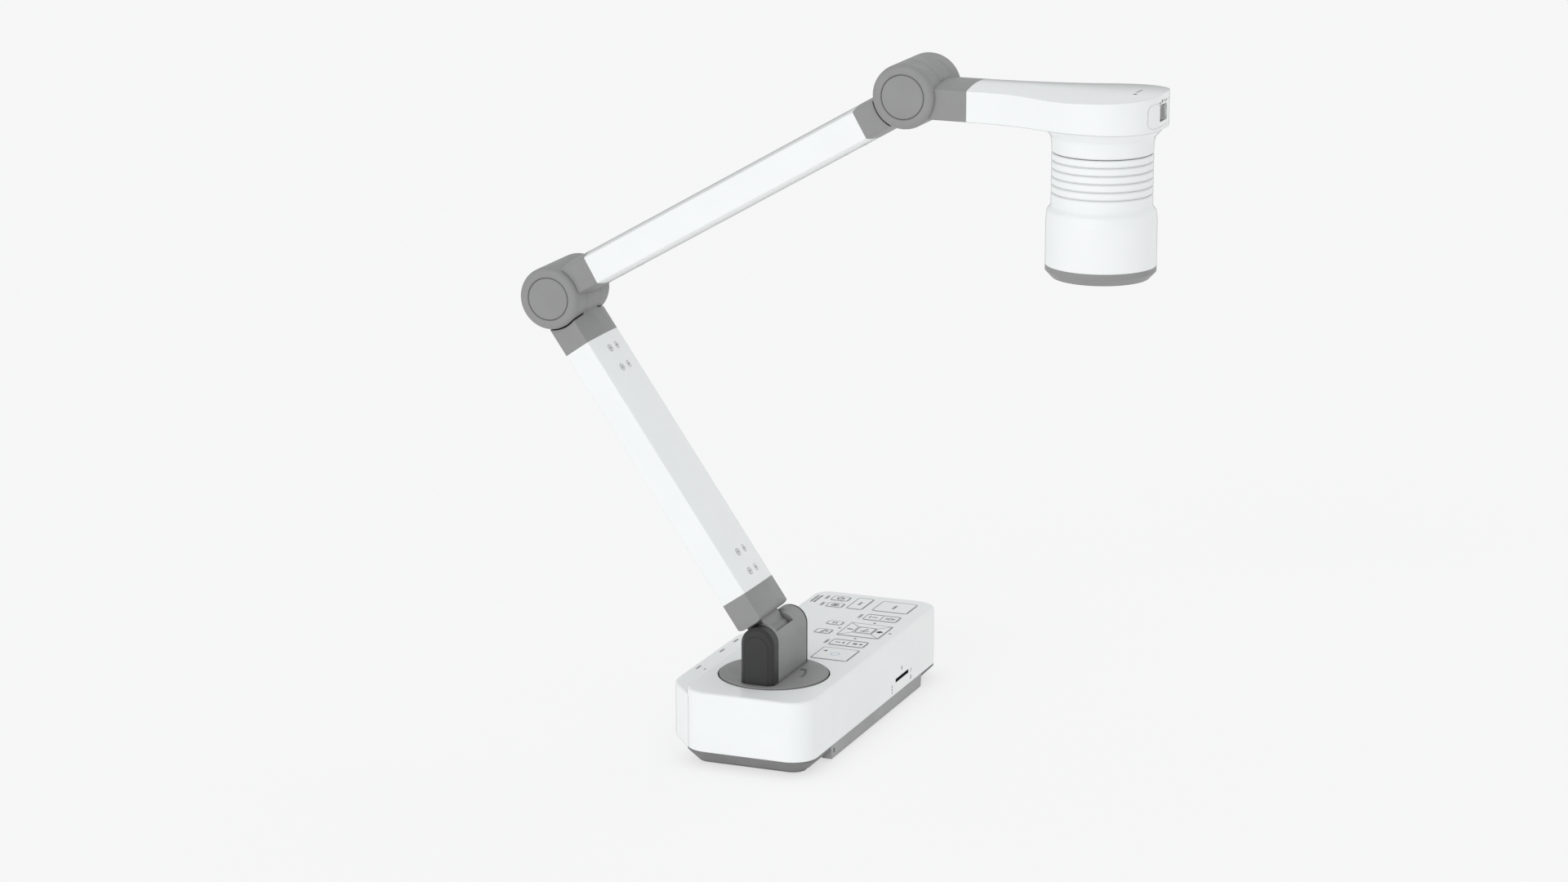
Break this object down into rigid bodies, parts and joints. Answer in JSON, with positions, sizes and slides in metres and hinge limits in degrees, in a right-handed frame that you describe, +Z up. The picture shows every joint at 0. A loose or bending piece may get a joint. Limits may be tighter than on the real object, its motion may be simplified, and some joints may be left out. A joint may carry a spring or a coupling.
{
  "type": "document camera",
  "caption": "Desktop document camera: a camera head with a turning barrel on a folding arm of two beams, on a turntable at one end of a long base with flush keys.",
  "frame": {"origin": "at desk level, where the middle line of the base crosses the middle plane of the arm; the turntable turns 1.5 mm to -X and 3 mm to +Y of it", "axes": "+X the way the arm reaches, +Y along the base from the turntable to the keys, +Z up"},
  "size_m": [0.45, 0.2645, 0.4921],
  "materials": {
    "white_plastic": "satin moulded plastic",
    "key_plastic": "satin membrane film",
    "grey_plastic": "fine-textured moulded plastic",
    "dark_plastic": "satin",
    "tray_plastic": "fine-textured",
    "skirt_plastic": "fine-textured",
    "black_plastic": "satin",
    "switch_plastic": "satin",
    "socket_plastic": "matte",
    "bush_plastic": "natural, self-lubricating",
    "board": "solder mask",
    "foot_rubber": "matte",
    "screw_paint": "painted",
    "steel": "plated",
    "aluminium": "as extruded",
    "socket_metal": "plated",
    "lens_glass": "coated",
    "clear_cover": "diffusing"
  },
  "bodies": {
    "base": {"base_shell": "white_plastic", "base_tray": "tray_plastic", "base_skirt": "skirt_plastic", "base_feet": "foot_rubber", "base_ballast": "steel", "base_screws": "steel", "pedestal": "aluminium", "swivel_bushing": "bush_plastic", "main_board": "board", "key_board": "board", "card_socket": "socket_plastic", "power_socket": "socket_plastic", "video_socket": "socket_metal", "display_socket": "socket_metal"},
    "turntable": {"turntable_disc": "grey_plastic", "swivel_nut": "steel", "stand_post": "grey_plastic", "stand_front_cap": "black_plastic", "stand_rear_cap": "black_plastic", "stand_screws": "steel", "shoulder_shaft": "steel"},
    "lower_arm": {"lower_end_cap": "grey_plastic", "lower_beam": "white_plastic", "lower_frame": "aluminium", "lower_top_cap": "grey_plastic", "lower_screws": "screw_paint"},
    "upper_arm": {"elbow_housing": "grey_plastic", "elbow_covers": "grey_plastic", "elbow_shaft": "steel", "elbow_washers": "bush_plastic", "upper_beam": "white_plastic", "upper_frame": "aluminium", "upper_top_cap": "grey_plastic", "upper_screws": "screw_paint"},
    "head": {"wrist_housing": "grey_plastic", "wrist_covers": "grey_plastic", "wrist_shaft": "steel", "wrist_washers": "bush_plastic", "head_top_cover": "white_plastic", "head_bottom_cover": "white_plastic"},
    "barrel": {"barrel_sleeve": "white_plastic", "barrel_retainer": "bush_plastic", "barrel_ring": "dark_plastic", "lamp_window": "clear_cover", "lamp_board": "board", "lens_housing": "black_plastic", "front_lens": "lens_glass", "sensor_board": "board"},
    "lamp_switch": {"lamp_switch": "switch_plastic"},
    "key_power": {"key_power": "key_plastic"},
    "key_source": {"key_source": "key_plastic"},
    "key_menu": {"key_menu": "key_plastic"},
    "key_auto": {"key_auto": "key_plastic"},
    "key_freeze": {"key_freeze": "key_plastic"},
    "key_lamp": {"key_lamp": "key_plastic"},
    "key_pad": {"key_pad": "key_plastic"},
    "key_capture": {"key_capture": "key_plastic"},
    "key_enter": {"key_enter": "key_plastic"},
    "rocker_bright": {"rocker_bright": "key_plastic"},
    "rocker_zoom": {"rocker_zoom": "key_plastic"}
  },
  "joints": [
    {"name": "base_swivel", "type": "hinge", "parent": "base", "child": "turntable", "pos_m": [-0.0015, 0.003, 0.05], "axis": [0, 0, 1], "range_deg": [-90, 90]},
    {"name": "arm_shoulder", "type": "hinge", "parent": "turntable", "child": "lower_arm", "pos_m": [-0.0015, 0, 0.0825], "axis": [0, 1, 0], "range_deg": [-50, 30]},
    {"name": "arm_elbow", "type": "hinge", "parent": "lower_arm", "child": "upper_arm", "pos_m": [-0.156, 0, 0.3136], "axis": [0, 1, 0], "range_deg": [-80, 34]},
    {"name": "arm_wrist", "type": "hinge", "parent": "upper_arm", "child": "head", "pos_m": [0.1023, 0, 0.4703], "axis": [0, -1, 0], "range_deg": [-58, 90]},
    {"name": "barrel_turn", "type": "hinge", "parent": "head", "child": "barrel", "pos_m": [0.2315, 0, 0.445], "axis": [0, 0, 1], "range_deg": [-90, 90]},
    {"name": "lamp_switch_slide", "type": "slide", "parent": "head", "child": "lamp_switch", "axis": [0, 1, 0], "range_m": [-0.002, 0.002]},
    {"name": "key_power_press", "type": "slide", "parent": "base", "child": "key_power", "axis": [0, 0, -1], "range_m": [0, 0.0006], "stiffness_N_per_m": 200},
    {"name": "key_source_press", "type": "slide", "parent": "base", "child": "key_source", "axis": [0, 0, -1], "range_m": [0, 0.0006], "stiffness_N_per_m": 200},
    {"name": "key_menu_press", "type": "slide", "parent": "base", "child": "key_menu", "axis": [0, 0, -1], "range_m": [0, 0.0006], "stiffness_N_per_m": 200},
    {"name": "key_auto_press", "type": "slide", "parent": "base", "child": "key_auto", "axis": [0, 0, -1], "range_m": [0, 0.0006], "stiffness_N_per_m": 200},
    {"name": "key_freeze_press", "type": "slide", "parent": "base", "child": "key_freeze", "axis": [0, 0, -1], "range_m": [0, 0.0006], "stiffness_N_per_m": 200},
    {"name": "key_lamp_press", "type": "slide", "parent": "base", "child": "key_lamp", "axis": [0, 0, -1], "range_m": [0, 0.0006], "stiffness_N_per_m": 200},
    {"name": "key_pad_press", "type": "slide", "parent": "base", "child": "key_pad", "axis": [0, 0, -1], "range_m": [0, 0.0006], "stiffness_N_per_m": 200},
    {"name": "key_capture_press", "type": "slide", "parent": "base", "child": "key_capture", "axis": [0, 0, -1], "range_m": [0, 0.0006], "stiffness_N_per_m": 200},
    {"name": "key_enter_press", "type": "slide", "parent": "base", "child": "key_enter", "axis": [0, 0, -1], "range_m": [0, 0.0006], "stiffness_N_per_m": 200},
    {"name": "rocker_bright_tilt", "type": "hinge", "parent": "base", "child": "rocker_bright", "pos_m": [0.02175, 0.1545, 0.0494], "axis": [0, 1, 0], "range_deg": [-2, 2], "stiffness_Nm_per_rad": 0.02},
    {"name": "rocker_zoom_tilt", "type": "hinge", "parent": "base", "child": "rocker_zoom", "pos_m": [0.02135, 0.088, 0.0494], "axis": [0, 1, 0], "range_deg": [-2, 2], "stiffness_Nm_per_rad": 0.02}
  ]
}
